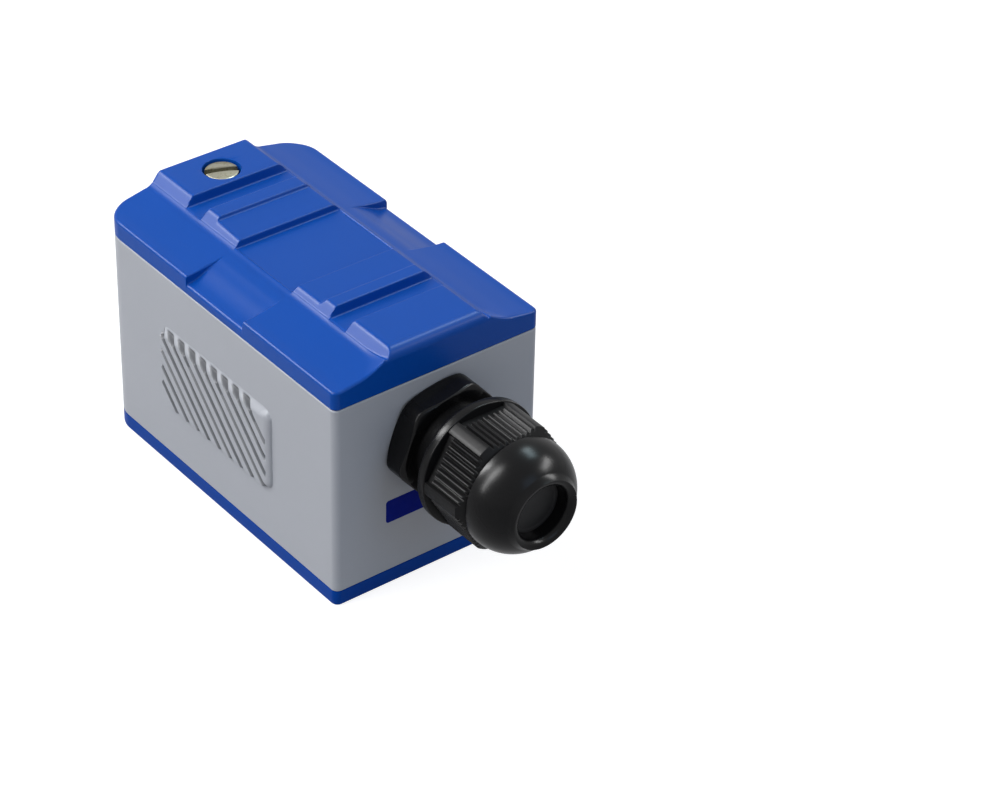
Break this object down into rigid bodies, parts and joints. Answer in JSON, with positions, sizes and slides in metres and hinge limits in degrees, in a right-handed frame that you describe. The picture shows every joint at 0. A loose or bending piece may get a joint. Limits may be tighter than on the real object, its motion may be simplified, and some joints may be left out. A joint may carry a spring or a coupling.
{
  "type": "clamp-on ultrasonic flow transducer",
  "caption": "Clamp-on ultrasonic transducer with a strap seat across its screwed cover, ribbed grip pads and an end cable gland.",
  "frame": {"origin": "centre of the flat pipe face under the base plate", "axes": "+X along the pipe towards the cable gland, +Z away from the pipe, +Y across"},
  "size_m": [0.0908, 0.0406, 0.044],
  "materials": {
    "body_grey": "satin moulded plastic with a fine grain",
    "cover_blue": "satin moulded plastic",
    "gland_black": "half-gloss polyamide",
    "disc_black": "satin plastic",
    "seal_rubber": "dull rubber",
    "screw_steel": "worn steel with yellow passivation",
    "steel": "plated steel",
    "tinned": "tinned copper",
    "brass": "machined brass",
    "board_green": "solder resist",
    "terminal_green": "moulded plastic",
    "wedge_amber": "machined amber plastic",
    "crystal_silver": "silvered ceramic",
    "backing_grey": "filled epoxy",
    "resin_black": "cast epoxy",
    "lead_red": "soft insulation",
    "lead_black": "soft insulation"
  },
  "bodies": {
    "housing": {"housing": "body_grey", "base_plate": "cover_blue", "wedge": "wedge_amber", "crystal": "crystal_silver", "backing_block": "backing_grey", "casting_resin": "resin_black", "signal_lead": "lead_red", "return_lead": "lead_black", "terminal_board": "board_green", "board_screws": "steel", "terminal_block": "terminal_green", "terminal_pins": "tinned", "screw_insert": "brass", "cover_gasket": "seal_rubber", "gland_body": "gland_black", "gland_gasket": "seal_rubber", "gland_locknut": "gland_black"},
    "cover": {"cover": "cover_blue"},
    "screw_seal": {"screw_seal": "seal_rubber"},
    "cover_screw": {"cover_screw": "screw_steel"},
    "gland_seal": {"gland_seal": "seal_rubber", "blanking_disc": "disc_black"},
    "dome_nut": {"dome_nut": "gland_black"},
    "clamp_cage_1": {"clamp_cage_1": "brass"},
    "clamp_screw_1": {"clamp_screw_1": "steel"},
    "clamp_cage_2": {"clamp_cage_2": "brass"},
    "clamp_screw_2": {"clamp_screw_2": "steel"},
    "clamp_cage_3": {"clamp_cage_3": "brass"},
    "clamp_screw_3": {"clamp_screw_3": "steel"}
  },
  "joints": [
    {"name": "cover_lift", "type": "slide", "parent": "housing", "child": "cover", "axis": [0, 0, 1], "range_m": [0, 0.025]},
    {"name": "cover_screw_rise", "type": "slide", "parent": "cover", "child": "screw_seal", "axis": [0, 0, 1], "range_m": [0, 0.004]},
    {"name": "cover_screw_turn", "type": "hinge", "parent": "screw_seal", "child": "cover_screw", "pos_m": [-0.0264, 0, 0.04175], "axis": [0, 0, 1], "range_deg": [0, 2881]},
    {"name": "dome_nut_travel", "type": "slide", "parent": "housing", "child": "gland_seal", "axis": [1, 0, 0], "range_m": [-0.00121, 0.00226]},
    {"name": "dome_nut_turn", "type": "hinge", "parent": "gland_seal", "child": "dome_nut", "pos_m": [0.05, 0, 0.0257], "axis": [1, 0, 0], "range_deg": [-288, 540]},
    {"name": "clamp_screw_1_turn", "type": "hinge", "parent": "housing", "child": "clamp_screw_1", "pos_m": [0.0042, -0.00508, 0.0294], "axis": [0, 0, 1], "range_deg": [-1081, 0]},
    {"name": "clamp_cage_1_lift", "type": "slide", "parent": "housing", "child": "clamp_cage_1", "axis": [0, 0, 1], "range_m": [0, 0.00135]},
    {"name": "clamp_screw_2_turn", "type": "hinge", "parent": "housing", "child": "clamp_screw_2", "pos_m": [0.0042, 0, 0.0294], "axis": [0, 0, 1], "range_deg": [-1081, 0]},
    {"name": "clamp_cage_2_lift", "type": "slide", "parent": "housing", "child": "clamp_cage_2", "axis": [0, 0, 1], "range_m": [0, 0.00135]},
    {"name": "clamp_screw_3_turn", "type": "hinge", "parent": "housing", "child": "clamp_screw_3", "pos_m": [0.0042, 0.00508, 0.0294], "axis": [0, 0, 1], "range_deg": [-1081, 0]},
    {"name": "clamp_cage_3_lift", "type": "slide", "parent": "housing", "child": "clamp_cage_3", "axis": [0, 0, 1], "range_m": [0, 0.00135]}
  ],
  "couplings": [
    {"joint": "cover_screw_turn", "follows": "cover_screw_rise", "rad_per_m": 12566},
    {"joint": "dome_nut_travel", "follows": "dome_nut_turn", "m_per_rad": 0.00023873},
    {"joint": "clamp_screw_1_turn", "follows": "clamp_cage_1_lift", "rad_per_m": -13963},
    {"joint": "clamp_screw_2_turn", "follows": "clamp_cage_2_lift", "rad_per_m": -13963},
    {"joint": "clamp_screw_3_turn", "follows": "clamp_cage_3_lift", "rad_per_m": -13963}
  ]
}
